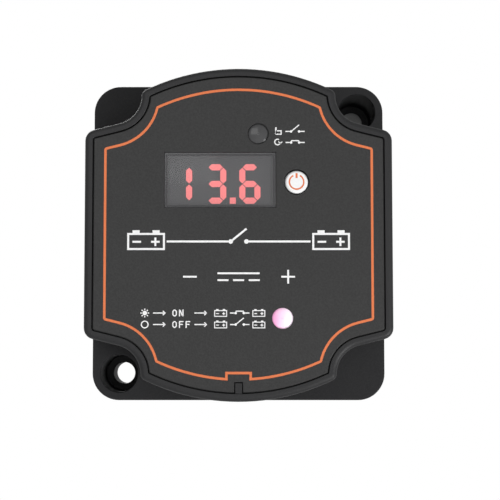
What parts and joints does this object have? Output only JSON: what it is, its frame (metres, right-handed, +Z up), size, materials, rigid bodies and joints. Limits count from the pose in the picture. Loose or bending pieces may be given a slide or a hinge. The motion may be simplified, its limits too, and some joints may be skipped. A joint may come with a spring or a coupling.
{
  "type": "battery isolator relay",
  "caption": "Panel-mounted battery isolator relay: crowned cover with voltage display, push button and lamps, rear stud terminals, and a working solenoid contactor inside.",
  "frame": {"origin": "middle of the flat rear face that lies against the mounting panel", "axes": "+Y out of the rear face into the panel, +Z up, +X to the right as the front panel is read"},
  "size_m": [0.068, 0.053, 0.0738],
  "materials": {
    "casing_black": "fine spark-eroded grain, glass-filled nylon",
    "cover_grey": "fine spark-eroded grain",
    "panel_grey": "matt textured film with printed lines and marks",
    "window_smoke": "smoked clear acrylic, polished",
    "lamp_smoke": "dark smoked acrylic",
    "lamp_frost": "frosted white acrylic, lit",
    "button_white": "white moulded plastic, satin",
    "board_green": "green solder mask on glass epoxy",
    "zinc_steel": "bright zinc plated steel",
    "bright_steel": "bright stainless steel",
    "plated_iron": "nickel plated soft iron",
    "dark_moulding": "black epoxy moulding",
    "segment_red": "lit segments of diffused red epoxy",
    "switch_red": "moulded plastic",
    "led_clear": "diffused epoxy",
    "can_aluminium": "drawn aluminium can",
    "nylon_natural": "natural nylon",
    "enamelled_copper": "enamelled copper wire",
    "contact_copper": "bare copper",
    "stud_brass": "tin plated brass",
    "tinned_brass": "tinned brass strip",
    "silver_alloy": "silver alloy contact",
    "fibre_board": "vulcanised fibre",
    "seal_rubber": "black rubber"
  },
  "bodies": {
    "root": {"base": "casing_black", "cover": "cover_grey", "gasket": "seal_rubber", "face_plate": "panel_grey", "display_window": "window_smoke", "mode_lamp_lens": "lamp_smoke", "status_lamp_lens": "lamp_frost", "circuit_board": "board_green", "board_screws": "zinc_steel", "display_module": "dark_moulding", "lit_segments": "segment_red", "switch_body": "dark_moulding", "mode_led": "led_clear", "status_led": "led_clear", "controller_chip": "dark_moulding", "coil_driver": "dark_moulding", "flyback_diode": "dark_moulding", "capacitor": "can_aluminium", "resistors": "dark_moulding", "yoke": "plated_iron", "yoke_screws": "zinc_steel", "yoke_plate": "plated_iron", "pole_piece": "plated_iron", "coil_bobbin": "nylon_natural", "coil_winding": "enamelled_copper", "coil_pins": "tinned_brass", "return_spring": "bright_steel", "terminal_stud_left": "stud_brass", "terminal_stud_right": "stud_brass", "fixed_contacts": "silver_alloy", "sense_strips": "tinned_brass", "terminal_washers": "zinc_steel", "spring_washers": "zinc_steel", "terminal_nuts": "zinc_steel", "case_screws": "zinc_steel", "lead_grommet": "seal_rubber"},
    "button": {"power_button": "button_white", "switch_plunger": "switch_red"},
    "armature": {"plunger": "plated_iron", "plunger_shaft": "bright_steel", "carrier": "nylon_natural", "retaining_clip": "bright_steel"},
    "bridge": {"contact_bridge": "contact_copper", "moving_contacts": "silver_alloy", "insulating_washer": "fibre_board", "contact_spring": "bright_steel"}
  },
  "joints": [
    {"name": "button_press", "type": "slide", "parent": "root", "child": "button", "axis": [0, 1, 0], "range_m": [0, 0.0005], "stiffness_N_per_m": 2000, "springref_m": -0.0003},
    {"name": "plunger_slide", "type": "slide", "parent": "root", "child": "armature", "axis": [0, 1, 0], "range_m": [0, 0.0021], "stiffness_N_per_m": 300, "springref_m": -0.002, "deforming": ["return_spring"]},
    {"name": "bridge_slide", "type": "slide", "parent": "root", "child": "bridge", "axis": [0, 1, 0], "range_m": [0, 0.0016], "deforming": ["contact_spring"]}
  ],
  "couplings": [
    {"joint": "bridge_slide", "follows": "plunger_slide", "ratio": 0.752}
  ]
}
